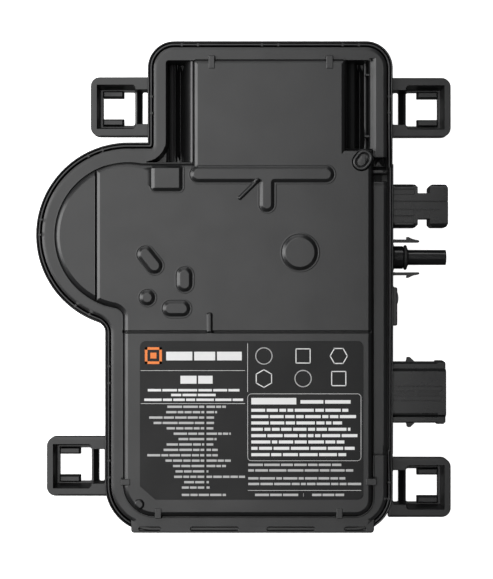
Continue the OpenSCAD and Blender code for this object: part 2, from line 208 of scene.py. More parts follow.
def relief(name, region, top, bot, fields, box, lines=(), step=0.25, spread=None):
    """A closed solid over the plane area region < 0, between the heights bot and top.
    fields is a list of (field, levels) whose contours are kept as mesh edges."""
    verts, edges = [], []

    def add(pts, closed):
        n0 = len(verts)
        body = pts[:-1] if closed else pts
        verts.extend((float(a), float(b)) for a, b in body)
        n = len(body)
        edges.extend((n0 + k, n0 + k + 1) for k in range(n - 1))
        if closed:
            edges.append((n0 + n - 1, n0))

    rim = chains(region, [0.0], box, step)
    for pts, closed in rim:
        add(pts, closed)
    for f, lvs in fields:
        for pts, closed in chains(f, lvs, box, step):
            inside = region(pts[:, 0], pts[:, 1]) < -0.003
            if inside.all():
                add(pts, closed)
            elif inside.any():
                run = []
                for k, p in enumerate(pts):
                    if inside[k]:
                        run.append(p)
                    elif run:
                        if len(run) > 1:
                            add(np.array(run), False)
                        run = []
                if len(run) > 1:
                    add(np.array(run), False)
    for x0, y0, x1, y1 in lines:
        n = max(2, int(math.hypot(x1 - x0, y1 - y0) / 4) + 1)
        pts = np.stack([np.linspace(x0, x1, n), np.linspace(y0, y1, n)], 1)
        add(pts[region(pts[:, 0], pts[:, 1]) < -0.003], False) if (region(pts[:, 0], pts[:, 1]) < -0.003).sum() > 1 else None
    if spread:
        xs, ys = np.arange(box[0], box[2], spread), np.arange(box[1], box[3], spread)
        gx, gy = np.meshgrid(xs, ys)
        ok = region(gx, gy) < -0.4
        verts.extend(zip(gx[ok].tolist(), gy[ok].tolist()))
    v2, _, tris, _, _, _ = delaunay_2d_cdt([Vector(v) for v in verts], edges, [], 0, 1e-4, False)
    p = np.array([(v.x, v.y) for v in v2])
    t = np.array([list(f) for f in tris if len(f) == 3])
    cen = p[t].mean(1)
    t = t[region(cen[:, 0], cen[:, 1]) < 0]
    a, b, c = p[t[:, 0]], p[t[:, 1]], p[t[:, 2]]
    flip = (b[:, 0] - a[:, 0]) * (c[:, 1] - a[:, 1]) - (b[:, 1] - a[:, 1]) * (c[:, 0] - a[:, 0])
    t = t[np.abs(flip) > 1e-9]
    flip = flip[np.abs(flip) > 1e-9]
    t = np.where((flip < 0)[:, None], t[:, ::-1], t)
    used, t = np.unique(t, return_inverse=True)
    t = t.reshape(-1, 3)
    p = p[used]
    n = len(p)
    zt, zb = top(p[:, 0], p[:, 1]), bot(p[:, 0], p[:, 1])
    zb = np.minimum(zb, zt - 0.05)
    co = np.vstack([np.column_stack([p, zt]), np.column_stack([p, zb])])
    # open edges of the plane mesh, walled from top to bottom
    e = np.vstack([t[:, [0, 1]], t[:, [1, 2]], t[:, [2, 0]]])
    key = {}
    for i, j in e.tolist():
        key[(i, j)] = key.get((i, j), 0) + 1
    border = [(i, j) for (i, j) in key if (j, i) not in key]
    wall = [(j, i, i + n, j + n) for i, j in border]
    tri_top, tri_bot = t, t[:, ::-1] + n
    faces = tri_top.tolist() + tri_bot.tolist() + wall
    me = bpy.data.meshes.new(name)
    me.from_pydata((co * MM).tolist(), [], faces)
    # shading normals from the heights themselves, taken just inside each face's corner

    def normals(tri, height, sign):
        q = p[tri % n if sign < 0 else tri]
        cc = q.mean(1, keepdims=True)
        v = cc - q
        ln = np.linalg.norm(v, axis=2, keepdims=True)
        s = q + v * np.minimum(0.5, 0.02 / np.maximum(ln, 1e-9))
        h = 0.006
        gx = (height(s[..., 0] + h, s[..., 1]) - height(s[..., 0] - h, s[..., 1])) / (2 * h)
        gy = (height(s[..., 0], s[..., 1] + h) - height(s[..., 0], s[..., 1] - h)) / (2 * h)
        m = np.stack([-gx, -gy, np.ones_like(gx)], 2) * sign
        m /= np.linalg.norm(m, axis=2, keepdims=True)
        f = co[tri]
        g = np.cross(f[:, 1] - f[:, 0], f[:, 2] - f[:, 0])
        g /= np.maximum(np.linalg.norm(g, axis=1, keepdims=True), 1e-12)
        far = (m * g[:, None]).sum(2) < 0.86
        return np.where(far[..., None], g[:, None], m)

    nt = normals(tri_top, top, 1).reshape(-1, 3)
    nb = normals(tri_bot, bot, -1).reshape(-1, 3)
    nw = []
    for j, i, a2, b2 in wall:
        q = p[[j, i]]
        h = 0.01
        gx = region(q[:, 0] + h, q[:, 1]) - region(q[:, 0] - h, q[:, 1])
        gy = region(q[:, 0], q[:, 1] + h) - region(q[:, 0], q[:, 1] - h)
        m = np.column_stack([gx, gy, np.zeros(2)])
        m /= np.maximum(np.linalg.norm(m, axis=1, keepdims=True), 1e-12)
        d = q[1] - q[0]
        f = np.array([-d[1], d[0], 0.0])
        f /= max(np.linalg.norm(f), 1e-12)
        if (m @ f < 0).all():
            f = -f
        m = np.where((m @ f < 0.86)[:, None], f[None], m)
        nw += [m[0], m[1], m[1], m[0]]
    alln = np.vstack([nt, nb, np.array(nw)]) if nw else np.vstack([nt, nb])
    for poly in me.polygons:
        poly.use_smooth = True
    me.normals_split_custom_set(alln.tolist())
    me.update()
    ob = bpy.data.objects.new(name, me)
    bpy.context.scene.collection.objects.link(ob)
    print(name, "faces", len(faces))
    return ob


# ------------------------------------------------------------------ materials


def tree(name):
    m = bpy.data.materials.new(name)
    m.use_nodes = True
    nt = m.node_tree
    nt.nodes.clear()
    out = nt.nodes.new("ShaderNodeOutputMaterial")
    sh = nt.nodes.new("ShaderNodeBsdfPrincipled")
    nt.links.new(sh.outputs[0], out.inputs[0])
    return m, nt, sh


def ramp(nt, fac, a, b, lo=0.35, hi=0.65):
    r = nt.nodes.new("ShaderNodeValToRGB")
    r.color_ramp.elements[0].position, r.color_ramp.elements[1].position = lo, hi
    r.color_ramp.elements[0].color = (*a, 1) if isinstance(a, tuple) else (a, a, a, 1)
    r.color_ramp.elements[1].color = (*b, 1) if isinstance(b, tuple) else (b, b, b, 1)
    nt.links.new(fac, r.inputs[0])
    return r.outputs[0]


def noise(nt, scale, detail=4.0, rough=0.55, stretch=None):
    co = nt.nodes.new("ShaderNodeTexCoord")
    n = nt.nodes.new("ShaderNodeTexNoise")
    n.inputs["Scale"].default_value = scale
    n.inputs["Detail"].default_value = detail
    n.inputs["Roughness"].default_value = rough
    if stretch:
        mp = nt.nodes.new("ShaderNodeMapping")
        mp.inputs["Scale"].default_value = stretch
        nt.links.new(co.outputs["Object"], mp.inputs[0])
        nt.links.new(mp.outputs[0], n.inputs["Vector"])
    else:
        nt.links.new(co.outputs["Object"], n.inputs["Vector"])
    return n.outputs[0]


def bump(nt, sh, height, strength, dist):
    b = nt.nodes.new("ShaderNodeBump")
    b.inputs["Strength"].default_value = strength
    b.inputs["Distance"].default_value = dist
    nt.links.new(height, b.inputs["Height"])
    nt.links.new(b.outputs[0], sh.inputs["Normal"])


def moulded(name, base, rough, grain=0.16, vary=0.12, metallic=0.0, scale=900, spec=0.5, coat=0.0):
    """Moulded or cast surface: a fine even grain, with slow changes in tone and gloss."""
    m, nt, sh = tree(name)
    slow = noise(nt, 22, 3)
    fine = noise(nt, scale, 2)
    lo = tuple(c * (1 - vary) for c in base)
    hi = tuple(c * (1 + vary) for c in base)
    nt.links.new(ramp(nt, slow, lo, hi), sh.inputs["Base Color"])
    nt.links.new(ramp(nt, noise(nt, 60, 3), rough - 0.03, rough + 0.03), sh.inputs["Roughness"])
    sh.inputs["Metallic"].default_value = metallic
    sh.inputs["Specular IOR Level"].default_value = spec
    if coat:
        sh.inputs["Coat Weight"].default_value = coat
    bump(nt, sh, fine, grain, 0.00012)
    return m


def brushed(name, base, rough, stretch=(1, 30, 1), grain=0.12):
    m, nt, sh = tree(name)
    n = noise(nt, 160, 4, 0.6, stretch)
    nt.links.new(ramp(nt, n, tuple(c * 0.86 for c in base), base), sh.inputs["Base Color"])
    nt.links.new(ramp(nt, n, rough * 0.8, rough * 1.25), sh.inputs["Roughness"])
    sh.inputs["Metallic"].default_value = 1.0
    bump(nt, sh, n, grain, 0.0001)
    return m


def bands(name, base, gap, scale, rough=0.35, metallic=0.0, axis="Z"):
    """Wound wire or ribs: even bands across one axis."""
    m, nt, sh = tree(name)
    co = nt.nodes.new("ShaderNodeTexCoord")
    w = nt.nodes.new("ShaderNodeTexWave")
    w.bands_direction = axis
    w.inputs["Scale"].default_value = scale
    w.inputs["Distortion"].default_value = 0.4
    w.inputs["Detail"].default_value = 1
    nt.links.new(co.outputs["Object"], w.inputs["Vector"])
    nt.links.new(ramp(nt, w.outputs[0], gap, base, 0.1, 0.6), sh.inputs["Base Color"])
    nt.links.new(ramp(nt, w.outputs[0], rough + 0.2, rough, 0.1, 0.6), sh.inputs["Roughness"])
    sh.inputs["Metallic"].default_value = metallic
    bump(nt, sh, w.outputs[0], 0.6, 0.0003)
    return m


def clear(name, base, rough, through=0.28):
    m, nt, sh = tree(name)
    n = noise(nt, 45, 3)
    nt.links.new(ramp(nt, n, tuple(c * 0.93 for c in base), base), sh.inputs["Base Color"])
    nt.links.new(ramp(nt, n, rough, rough + 0.06), sh.inputs["Roughness"])
    sh.inputs["Transmission Weight"].default_value = through
    sh.inputs["IOR"].default_value = 1.49
    bump(nt, sh, noise(nt, 500, 2), 0.05, 0.0001)
    return m


CASE = moulded("case_moulding", (0.0100, 0.0102, 0.0106), 0.34)
PORT = moulded("port_moulding", (0.0080, 0.0082, 0.0086), 0.28, grain=0.08, scale=1300, spec=0.50)
GLOSS = moulded("probe_moulding", (0.0070, 0.0072, 0.0076), 0.19, grain=0.05, scale=1300, spec=0.5)
RUBBER = moulded("black_rubber_skin", (0.010, 0.010, 0.010), 0.62, grain=0.25, scale=700)
LABEL = moulded("label_film_face", (0.0030, 0.0031, 0.0034), 0.36, grain=0.05, scale=1500, spec=0.26)
PRINT = moulded("label_print_white", (0.72, 0.72, 0.72), 0.5, grain=0.03, vary=0.02)
PRINT2 = moulded("label_print_fine", (0.42, 0.42, 0.42), 0.5, grain=0.03, vary=0.03)
MARK = moulded("label_print_orange", (0.80, 0.20, 0.03), 0.5, grain=0.03, vary=0.03)
TIN = brushed("tinned_contact_metal", (0.78, 0.76, 0.70), 0.26)
STEEL = brushed("plated_steel_metal", (0.62, 0.63, 0.65), 0.32)
ALU = brushed("spreader_metal", (0.72, 0.73, 0.75), 0.36)
LENS = clear("lens_moulding", (0.50, 0.51, 0.53), 0.14)
LED = moulded("led_package", (0.80, 0.78, 0.62), 0.4, grain=0.05)
BOARD = moulded("board_mask", (0.012, 0.085, 0.035), 0.30, grain=0.12, vary=0.18, scale=420, coat=0.2)
PAD = moulded("pad_skin", (0.26, 0.32, 0.40), 0.7, grain=0.2)
RESIN = moulded("cured_resin_face", (0.040, 0.036, 0.032), 0.25, grain=0.08, scale=120)
FERRITE = moulded("ferrite_body", (0.030, 0.030, 0.032), 0.58, grain=0.3, scale=600)
COPPER = bands("enamelled_turns", (0.56, 0.20, 0.055), (0.16, 0.05, 0.015), 260, 0.28, 0.8)
SLEEVE = moulded("capacitor_sleeve_face", (0.020, 0.024, 0.045), 0.3, grain=0.04)
FILM = moulded("film_case_face", (0.55, 0.33, 0.06), 0.42, grain=0.1)
CHIP = moulded("chip_epoxy_face", (0.020, 0.020, 0.021), 0.5, grain=0.3, scale=1600)
FUSE = moulded("fuse_ceramic_face", (0.72, 0.70, 0.64), 0.3, grain=0.05)
VARISTOR = moulded("varistor_coat", (0.05, 0.16, 0.34), 0.35, grain=0.12)
BARE = brushed("bare_copper_metal", (0.80, 0.42, 0.24), 0.3)

SLOT_OF = {
    "case_plastic": CASE, "port_plastic": PORT, "black_rubber": RUBBER, "label_film": LABEL, "tinned_contact": TIN,
    "lens_plastic": LENS, "led_body": LED, "board_laminate": BOARD, "plated_steel": STEEL, "spreader_aluminium": ALU,
    "pad_silicone": PAD, "cured_resin": RESIN, "ferrite": FERRITE, "enamelled_copper": COPPER,
    "capacitor_sleeve": SLEEVE, "film_capacitor_case": FILM, "chip_epoxy": CHIP, "fuse_ceramic": FUSE,
    "varistor_coating": VARISTOR, "bare_copper": BARE,
}
for sub in frame["record"]["subparts"]:
    ob = NODES[sub["node"]]
    ob.data.materials.clear()
    ob.data.materials.append(GLOSS if sub["node"] == "dc_probe_body" else SLOT_OF[sub["material_slot"]])

# ------------------------------------------------------------------ the case: fields shared by the housing and the cover

BULGE = (-50.15, 22.35)
LOW0, LOW1 = -72.7, 53.0


def outline(x, y):
    body = np.minimum(rbox(x, y, -41.8, -40, 64.0, 106, (0, 0, 11.6, 11.6)),
                      rbox(x, y, -60.2, -106, 64.0, 0, (20.5, 16.8, 0, 0)))
    body = np.minimum(body, rbox(x, y, 30, LOW0, 64.4, LOW1, (0, 0.3, 0.3, 0)))
    whole = fillet(body, circ(x, y, *BULGE, 39.9), np.where(y > 22, 1.0, 3.0))
    return np.minimum(whole, rbox(x, y, BULGE[0], 20, -30, BULGE[1] + 39.9))


DROP = [(41.2, 20.8), (42.6, 20.7), (44.8, 20.05), (46.0, 20.15), (48.7, 21.75), (49.3, 22.15), (50.4, 22.2), (51.9, 22.95),
        (52.2, 22.95), (55.7, 24.45), (56.6, 24.6)]


def rim_level(x, y):
    """Height of the flange: it steps down in front of the ports."""
    z = profile(y, DROP, 0.4)
    z = np.where(y < LOW0, 24.6, z)
    return np.where(x > 50, z, 24.6)


# the two pockets that cross the flange where it steps down
POCKET = [(43.0, 0.0), (45.6, -0.8), (46.2, -3.2), (48.5, -3.6), (48.9, 0.0), (50.5, 0.0), (50.9, -3.0), (51.8, -3.0), (51.95, -1.6),
          (52.25, -1.6), (52.4, -4.2), (55.3, -4.6), (55.8, 0.0)]
BOX = (-92, -108, 67, 108)
TICKS = [(-27.1, 103.6, 90), (-20.1, 103.6, 90), (7.5, 103.6, 90), (14.6, 103.6, 90), (42.3, 103.6, 90),
         (49.3, 103.6, 90), (-39.4, 82.05, 0), (-39.4, 74.9, 0), (61.6, 82.2, 0), (61.6, 75.1, 0),
         (-57.8, -34.3, 0), (-57.8, -41.6, 0), (-57.8, -75.0, 0), (-57.8, -82.25, 0), (61.6, -84.4, 0), (61.6, -91.5, 0)]
for tx, ty in [(-61.1, 58.4), (-67.4, 56.3), (-87.9, 29.05), (-87.9, 22.4), (-72.2, -7.2), (-66.3, -10.4)]:
    ang = math.atan2(ty - BULGE[1], tx - BULGE[0])
    TICKS.append((BULGE[0] + 37.5 * math.cos(ang), BULGE[1] + 37.5 * math.sin(ang), math.degrees(ang)))


def ticks(x, y):
    return least(*[turned(x, y, tx, ty, math.radians(a), 1.5, 0.42) for tx, ty, a in TICKS])


STAND = [(-31.5, 92), (44, 92), (-48, -78), (44, -92)]
OUTER = [(-0.62, -0.10), (-0.45, 0.0), (-0.2, -0.08), (0.0, -0.8)]
BAND = [(-1.95, -0.75), (-1.75, -0.45), (-1.2, -0.45), (-1.0, -0.8)]


def strip(x, y):
    return np.maximum(rbox(x, y, -48.99, -106.25, 55.94, -99.8, (1.5, 1.5, 0, 0)), -(outline(x, y) + 4.6))


def house_top(x, y):
    d = outline(x, y)
    lip = rim_level(x, y) + 0.4
    z = lip + profile(d, OUTER, 0.15)
    t = ticks(x, y)
    z = np.where(d < -0.66, lip - 4.0, z)
    z = np.where(d < -0.98, lip + profile(d, BAND, 0.15), z)
    z = np.where(d < -1.96, 17.0, z)
    z = np.where((t < 0) & (d < -1.0) & (d > -2.28), lip - 0.35, z)
    z = np.where(strip(x, y) < 0.05, np.minimum(z, 23.4), z)
    z = np.where(d < -3.4, 2.0, z)
    for sx, sy in STAND:
        z = np.where(circ(x, y, sx, sy, 3.2) < 0, 6.0, z)
        z = np.where(circ(x, y, sx, sy, 1.45) < 0, 2.2, z)
    return z


BACK = [(-1.2, 0.0), (-0.4, 0.3), (0.0, 1.1)]


def house_bot(x, y):
    return profile(outline(x, y), BACK, 0.3)


pocket_lines = [(55.6, y0, 62.0, y0) for y0 in levels(POCKET, 0.15)] + [(x0, 42.0, x0, 56.5) for x0 in (55.57, 55.63)]
zone_lines = [(52, y0, 66, y0) for y0 in (LOW0 - 0.03, LOW0 + 0.03)] + [(52, y0, 66, y0) for y0 in levels(DROP, 0.4)]
rear = relief(
    "rear_housing_shell", outline, house_top, house_bot,
    [(outline, [-0.06, -0.13, -0.2, -0.28, -0.4, -0.5, -0.63, -0.69, -0.95, -1.01, -1.1, -1.25, -1.68, -1.8, -1.93, -1.99, -2.26, -2.3, -3.36, -3.44]),
     (ticks, [-0.03, 0.03]),
     (lambda x, y: least(*[circ(x, y, sx, sy, 3.2) for sx, sy in STAND]), [-0.04, 0.04]),
     (lambda x, y: least(*[circ(x, y, sx, sy, 1.45) for sx, sy in STAND]), [-0.04, 0.04])],
    BOX, zone_lines)

# ------------------------------------------------------------------ foot strip


SLOTS = [(-45.6, -36.2), (-23.3, -2.7), (9.7, 30.3), (43.2, 52.4)]


def slots(x, y):
    return least(*[cap(x, y, a + 0.78, -104.48, b - 0.78, -104.48, 0.78) for a, b in SLOTS])


STRIP_EDGE = [(-0.45, 0.0), (-0.15, -0.12), (0.0, -0.6)]
SLOT_P = [(-0.25, -3.0), (0.0, -0.3), (0.2, 0.0)]


def strip_edge(x, y):
    """Distance to the strip's outside edges only."""
    return rbox(x, y, -48.99, -106.25, 55.94, -90, (1.5, 1.5, 0, 0))


def strip_top(x, y):
    return 24.63 + profile(strip_edge(x, y), STRIP_EDGE, 0.15) + profile(slots(x, y), SLOT_P, 0.15)


foot = relief(
    "foot_strip", strip, strip_top, lambda x, y: np.full_like(x, 12.0),
    [(strip_edge, [-0.07, -0.15, -0.25, -0.4, -0.55]), (slots, levels(SLOT_P, 0.15))], (-51, -108, 58, -98))

# ------------------------------------------------------------------ front cover

W = 0.2
EDGE_P = [(-4.1, 0.0), (-3.6, -0.09), (-2.8, -0.34), (-2.55, -0.5), (-2.42, -3.0)]
STEP_P = [(-1.35, 28.6), (-0.9, 28.38), (-0.05, 27.82), (0.85, 24.3), (2.2, 12.0)]
CRES_P = [(-1.35, 26.6), (-0.9, 26.38), (-0.05, 25.82), (0.8, 24.3), (2.2, 12.0)]
FOOT_P = [(-0.1, 0.0), (0.25, -2.4), (0.75, -2.4), (0.95, 0.04), (1.25, 0.07), (1.6, 0.0)]
CUT_P = [(-1.0, 0.0), (0.0, -2.2), (0.7, -2.2), (0.9, 0.1), (1.3, 0.0)]
RIB_P = [(-0.92, 0.95), (-0.6, 0.84), (0.45, 0.04), (0.7, -0.1), (0.95, 0.08), (1.2, 0.08), (1.5, 0.0)]
RING_P = [(-0.55, 0.9), (-0.2, 0.7), (0.3, 0.0)]
GROOVE_P = [(-0.3, -1.2), (0.0, -0.3), (0.25, 0.0)]
TAB_P = [(-0.3, 28.85), (-0.05, 28.6), (0.12, 24.0)]
OVAL_P = [(-0.25, 28.6), (0.05, 28.2), (0.5, 24.0), (1.2, 12.0)]
OVAL_RING = [(0.35, 0.4), (0.6, 0.15), (0.8, -0.8), (1.05, -0.8), (1.25, 0.0)]
BC = (-50.15, 22.0)


def panel(x, y):
    a = least(rbox(x, y, -51.35, -98.1, 54.5, 52.1, (13, 7, 0, 0)),
              rbox(x, y, -21.45, 30, 43.0, 97.0, (0, 0, 0.8, 0.8)),
              rbox(x, y, 30, 30, 54.5, 58.4))
    b = np.maximum(circ(x, y, *BC, 30.65), -63.4 - x)
    return np.where(y < 20, fillet(a, b, 4.5), np.minimum(a, b))


def crescent(x, y):
    return np.maximum(circ(x, y, *BC, 30.75), x + 61.0)


def ribs(x, y):
    return least(
        rbox(x, y, -39.35, 41.6, -27.2, 60, (1.1, 1.1, 0, 0)),
        fillet(cap(x, y, -19.75, 48.25, 35.0, 48.25, 2.85), cap(x, y, 9.65, 46, 9.65, 35.3, 2.55), 0.8),
        circ(x, y, 23.8, 14.7, 7.05),
        cap(x, y, -42.5, 13.9, -38.6, 9.0, 2.8),
        cap(x, y, -25.7, 5.0, -25.7, 1.2, 2.75),
        circ(x, y, -41.7, -4.7, 2.7),
        cap(x, y, -31.7, -9.4, -26.65, -9.4, 2.75))


def oval(x, y):
    return cap(x, y, 50.15, 53.6, 51.35, 55.15, 4.0)


def rings(x, y):
    return least(circ(x, y, -45.3, -93.35, 2.0),
                 rbox(x, y, -16.1, -19.6, -14.0, -11.3, (0, 0, 0.8, 0.8)), cap(x, y, 5.6, 45.6, -1.95, 38.2, 0.7))


def grooves(x, y):
    return least(rbox(x, y, -52.5, -19.9, -16.2, -19.0), rbox(x, y, -13.6, -19.9, 54.4, -19.0))


def tabs(x, y):
    return least(
        rbox(x, y, -53.2, -85.3, -49.0, -82.5), rbox(x, y, 52, -85.3, 56.8, -82.3),
        rbox(x, y, -38.6, -99.6, -35.6, -95), rbox(x, y, 39.35, -99.6, 42.2, -95),
        rbox(x, y, -15.5, 93.55, -12.7, 99.3), rbox(x, y, 35.0, 93.55, 38.1, 99.3))


def trough_l(x, y):
    """The left trough; its lower left corner sweeps round into the gap beside the panel."""
    a = rbox(x, y, -34.2, 53.3, -21.6, 97.9, (0, 0.6, 0.6, 1.5))
    gap = rbox(x, y, -43, 45, -30, 54.3)
    return np.maximum(np.where(x < -28, fillet(a, gap, 9.0), a), np.maximum(53.3 - y, -x - 42.5))


def trough_r(x, y):
    return rbox(x, y, 43.1, 59.2, 54.6, 98.0, (0.6, 1.0, 1.5, 0.6))


FL = [(-34.2, 15.0), (-33.4, 14.2), (-32.9, 14.9), (-32.5, 14.0), (-31.2, 13.6), (-30.7, 15.6), (-30.0, 15.9), (-29.7, 14.5),
      (-29.4, 13.4), (-28.2, 10.4), (-26.6, 14.3), (-25.8, 18.0), (-25.0, 20.6), (-24.2, 22.3), (-23.3, 23.3), (-22.4, 23.8),
      (-22.25, 22.0), (-21.9, 22.0)]
FR = [(43.1, 24.0), (43.5, 22.3), (43.9, 22.1), (44.2, 21.9), (44.6, 20.4), (45.4, 19.0), (46.2, 18.3), (47.8, 17.8),
      (48.6, 16.4), (49.5, 13.0), (50.6, 10.4), (51.7, 13.2), (52.0, 17.5), (52.7, 17.6), (53.6, 17.1), (53.8, 14.0),
      (54.2, 14.0), (54.35, 21.5), (54.6, 23.0)]


def cover_top(x, y):
    d = outline(x, y)
    z = rim_level(x, y) + profile(d, EDGE_P, W)
    z = z + np.where((x > 55.6) & (d < -2.5), profile(y, POCKET, 0.15), 0)
    cr, pa = crescent(x, y), panel(x, y)
    z = z + profile(np.minimum(cr, pa), FOOT_P, W)
    z = least(-np.maximum(z, profile(cr, CRES_P, W) + profile(pa, CUT_P, W)), -profile(pa, STEP_P, W)) * -1
    on = np.clip(-pa / 1.3, 0, 1)
    z = z + profile(grooves(x, y), GROOVE_P, 0.15) + profile(ribs(x, y), RIB_P, W) * on + profile(rings(x, y), RING_P, 0.15)
    tb = tabs(x, y)
    z = np.where(tb < 0.12, np.maximum(z, profile(tb, TAB_P, 0.1)), z)
    ov = oval(x, y)
    oz = profile(ov, OVAL_P, 0.15) + profile(np.abs(ov + 1.05), OVAL_RING, 0.15)
    z = np.where(ov < 0.1, oz, np.maximum(z, oz))
    bevel = profile(x, [(54.6, -1.5), (56.6, 0.0)], 0.4) * (y > 58.6) * (y < 98.6) * (x > 54)
    z = z + bevel
    z = np.where((ticks(x, y) < 0) & (d > -4.2), np.maximum(z, rim_level(x, y) - 0.05), z)
    tl, tr = trough_l(x, y), trough_r(x, y)
    z = np.where(tl < 0, np.minimum(z, np.maximum(profile(x, FL, 0.2), 28.6 + 13 * tl)), z)
    wall_r = np.maximum(profile(x, FR, 0.2), 28.6 + 13 * tr)
    wall_r = np.where((x > 52.4) & (np.abs(y - 91.9) < 0.4), np.maximum(wall_r, 20.5), wall_r)
    wall_r = np.where((x > 52.0) & (np.abs(y - 65.3) < 0.4), np.maximum(wall_r, 20.5), wall_r)
    return np.where(tr < 0, np.minimum(z, wall_r), z)


def cover_region(x, y):
    return outline(x, y) + 2.3


def cover_bot(x, y):
    z = cover_top(x, y) - 2.0
    z = np.where((trough_l(x, y) < 1.6) | (trough_r(x, y) < 1.6), 9.9, z)
    return np.where(outline(x, y) > -4.4, 18.2, z)


lines = [(x0, 53.0, x0, 98.4) for x0 in levels(FL, 0.2) + levels(FR, 0.2)]
lines += [(52.3, y0 + s, 55.4, y0 + s) for y0 in (91.9, 65.3) for s in (-0.43, -0.37, 0.37, 0.43)]
lines += [(x0, 58.0, x0, 99.5) for x0 in (54.4, 54.6, 54.8, 56.4, 56.6, 56.8)] + [(54.0, y0, 57.0, y0) for y0 in (58.57, 58.63, 98.57, 98.63)]
cover = relief(
    "front_cover_shell", cover_region, cover_top, cover_bot,
    [(outline, levels(EDGE_P, W)[:-2] + [-2.35, -4.36, -4.44]), (ticks, [-0.03, 0.03]),
     (panel, levels(STEP_P, W) + [0.2, 0.3, 0.4, 0.65, 0.7, 0.8, 0.9, 1.0, 1.2, 1.4, 1.6, 1.7, 2.0, 2.2]),
     (crescent, levels(CRES_P, W) + [0.2, 0.3, 0.4, 0.65, 0.85, 1.0, 1.2, 1.4, 1.6, 1.7, 2.0, 2.2]),
     (ribs, levels(RIB_P, W)), (rings, levels(RING_P, 0.2)), (grooves, levels(GROOVE_P, 0.2)),
     (oval, levels(OVAL_P, 0.15) + [0.095, 0.105, -0.05, -0.25, -0.4, -0.55, -0.7, -1.05, -1.4, -1.7, -1.9, -2.1, -2.35]),
     (tabs, levels(TAB_P, 0.15)),
     (trough_l, [1.57, 1.63, 0.04, -0.04, -0.15, -0.32, -0.6, -0.9, -1.15]), (trough_r, [1.57, 1.63, 0.04, -0.04, -0.15, -0.32, -0.6, -0.9, -1.15])],
    BOX, lines + zone_lines + pocket_lines, spread=2.5)

# ------------------------------------------------------------------ ears and hood

EAR_E = [(-0.3, 0.0), (-0.12, -0.03), (0.0, -0.12)]


def ear_shape(x, y):
    return rbox(x, y, 0, -12.95, 27.2, 12.95, (4, 0, 0, 4))


def ear_tabs(x, y):
    return np.minimum(rbox(x, y, 4.6, 4.55, 14.1, 7.9, (0.3,) * 4), rbox(x, y, 4.6, -7.9, 14.1, -4.55, (0.3,) * 4))


def ear_region(x, y):
    hole = np.maximum(rbox(x, y, 5.0, -7.35, 19.0, 7.35, (1.2,) * 4), -ear_tabs(x, y))
    return np.maximum(np.maximum(ear_shape(x, y), -hole), -rbox(x, y, 22.2, -7.4, 24.5, 7.4, (0.7,) * 4))


def ear_recess(x, y):
    return rbox(x, y, 2.7, -9.75, 19.6, 9.75, (0.6, 2.2, 2.2, 0.6))


def ear_bar(x, y):
    return rbox(x, y, 19.0, -7.6, 25.4, 7.6, (0.8,) * 4)


EY = [(8.4, 4.4), (9.45, 12.8), (9.75, 14.2)]
EX = [(2.7, 14.2), (2.9, 12.8), (3.6, 4.4), (18.8, 4.4), (19.4, 12.0), (19.6, 14.2)]


def ear_top(x, y):
    z = 14.0 + profile(rbox(x, y, 0, -12.95, 40, 12.95, (4, 0, 0, 4)), EAR_E, 0.15)
    rec = np.maximum(profile(np.abs(y), EY, 0.2), profile(x, EX, 0.2))
    z = np.where(ear_recess(x, y) < 0.2, np.minimum(z, np.maximum(rec, profile(ear_recess(x, y), [(-0.6, 4.4), (-0.1, 12.8), (0.2, 14.1)], 0.1))), z)
    bar = np.maximum(profile(np.abs(y), [(6.9, 3.5), (7.4, 12.8), (7.6, 14.2)], 0.1), profile(x, [(19.0, 7.4), (19.9, 7.7), (20.25, 7.4), (21.9, 3.8), (40, 3.8)], 0.1))
    z = np.where(ear_bar(x, y) < 0, np.minimum(z, bar), z)
    t = ear_tabs(x, y)
    return np.where(t < 0, np.maximum(z, profile(t, [(-0.75, 6.9), (-0.6, 6.7), (0, 4.4)], 0.08)), z)


def ear_bot(x, y):
    """Flat under the window frame, stepped up under the outer ring."""
    return np.where(rbox(x, y, 2.2, -10.2, 40, 10.2) < 0, 3.0, 8.0)


EARS = [("upper_left", -67.35, 78.75, 1), ("upper_right", 90.2, 78.45, -1), ("lower_left", -86.55, -78.55, 1), ("lower_right", 90.2, -87.8, -1)]
ears = []
for nm, ex, ey, sgn in EARS:
    def loc(f, ex=ex, ey=ey, sgn=sgn):
        return lambda x, y: f((x - ex) * sgn, (y - ey) * sgn)
    bx = (min(ex, ex + sgn * 28) - 1, ey - 14.5, max(ex, ex + sgn * 28) + 1, ey + 14.5)
    ears.append(relief(
        "ear_" + nm, loc(ear_region), loc(ear_top), loc(ear_bot),
        [(loc(lambda x, y: rbox(x, y, 0, -12.95, 40, 12.95, (4, 0, 0, 4))), [-0.07, -0.14, -0.25, -0.4, -0.55, -0.7]),
         (loc(lambda x, y: rbox(x, y, 2.2, -10.2, 40, 10.2)), [-0.03, 0.03]),
         (loc(ear_recess), [-0.7, -0.6, -0.4, -0.15, -0.05, 0.05, 0.17, 0.23]), (loc(ear_bar), [-0.04, 0.04]),
         (loc(ear_tabs), [-0.85, -0.75, -0.68, -0.6, -0.5, -0.3, -0.03, 0.03])], bx,
        [(ex + sgn * u, ey - 9.9, ex + sgn * u, ey + 9.9) for u in levels(EX, 0.2) + [19.85, 19.95, 20.2, 20.3, 20.6, 21.0, 21.5, 21.9]]
        + [(ex + sgn * 2.2, ey + v * q, ex + sgn * 25.6, ey + v * q) for v in (-1, 1) for q in levels(EY, 0.2) + [6.85, 6.95, 7.35, 7.45]], 0.2, 1.3))


def hood_f(x, y):
    return rbox(x, y, 62.5, -16.95, 66.45, -0.2, (0, 0.8, 0.8, 0))


hood = relief("lens_hood", hood_f, lambda x, y: 18.8 + profile(hood_f(x, y), [(-0.4, 0), (-0.12, -0.08), (0, -0.4)], 0.15),
              lambda x, y: np.full_like(x, 13.2), [(hood_f, [-0.06, -0.14, -0.3, -0.5])], (61, -19, 68, 2))

